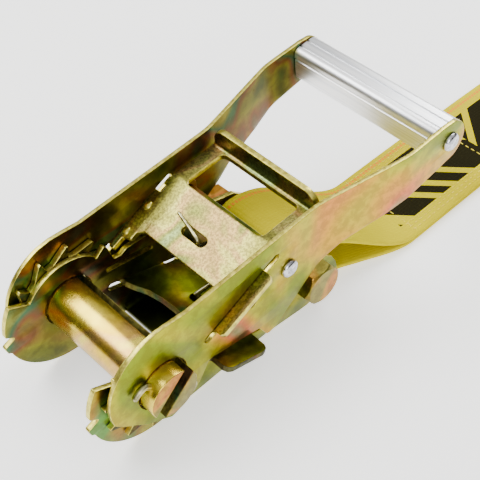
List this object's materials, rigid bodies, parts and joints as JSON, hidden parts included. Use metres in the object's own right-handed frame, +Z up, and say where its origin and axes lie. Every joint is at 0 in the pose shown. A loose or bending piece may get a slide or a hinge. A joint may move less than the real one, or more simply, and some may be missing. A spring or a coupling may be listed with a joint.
{
  "type": "ratchet tie down",
  "caption": "Webbing ratchet: long handle with grip bar and release slide, slotted toothed drum in a folded frame, flat strap sewn round a bolt, wire end hook.",
  "frame": {"origin": "middle of the buckle, without its webbing and end hook, on the plane that it stands on", "axes": "+X along the handle from the drum to the grip and on to the end hook, +Y along the drum, +Z up"},
  "size_m": [0.533, 0.0949, 0.0749],
  "materials": {
    "zinc_yellow": "yellow passivated zinc plate",
    "zinc_pale": "pale mottled zinc plate",
    "spring_steel": "plain zinc",
    "bright_steel": "bright zinc",
    "aluminium": "satin extruded",
    "webbing": "woven polyester"
  },
  "bodies": {
    "frame": {"frame_channel": "zinc_yellow", "anchor_bolt": "zinc_yellow", "anchor_nut": "zinc_yellow", "anchor_sleeve": "spring_steel", "stop_spring": "spring_steel", "webbing": "webbing", "end_hook": "zinc_yellow"},
    "drum": {"ratchet_wheel_near": "zinc_yellow", "ratchet_wheel_far": "zinc_yellow", "drum_bar_upper": "zinc_pale", "drum_bar_lower": "zinc_pale", "cotter_pin_near": "spring_steel", "cotter_pin_far": "spring_steel"},
    "stop_pawl": {"stop_pawl": "zinc_yellow"},
    "handle": {"handle_plate_near": "zinc_yellow", "handle_plate_far": "zinc_yellow", "grip": "aluminium", "grip_rod": "bright_steel", "handle_brace": "zinc_yellow", "brace_rivet_near": "bright_steel", "brace_rivet_far": "bright_steel"},
    "release_slide": {"release_slide": "zinc_pale", "return_spring": "spring_steel"}
  },
  "joints": [
    {"name": "handle_hinge", "type": "hinge", "parent": "frame", "child": "handle", "pos_m": [-0.06879, 0, 0.0325], "axis": [0, -1, 0], "range_deg": [0, 165]},
    {"name": "drum_spin", "type": "hinge", "parent": "frame", "child": "drum", "pos_m": [-0.06879, 0, 0.0325], "axis": [0, -1, 0], "continuous": true},
    {"name": "release_travel", "type": "slide", "parent": "handle", "child": "release_slide", "axis": [0.9033, 0, 0.4289], "range_m": [0, 0.006], "stiffness_N_per_m": 1500, "springref_m": -0.004},
    {"name": "stop_pawl_travel", "type": "slide", "parent": "frame", "child": "stop_pawl", "axis": [0.954, 0, -0.2999], "range_m": [0, 0.0045], "stiffness_N_per_m": 1200, "springref_m": -0.004}
  ]
}
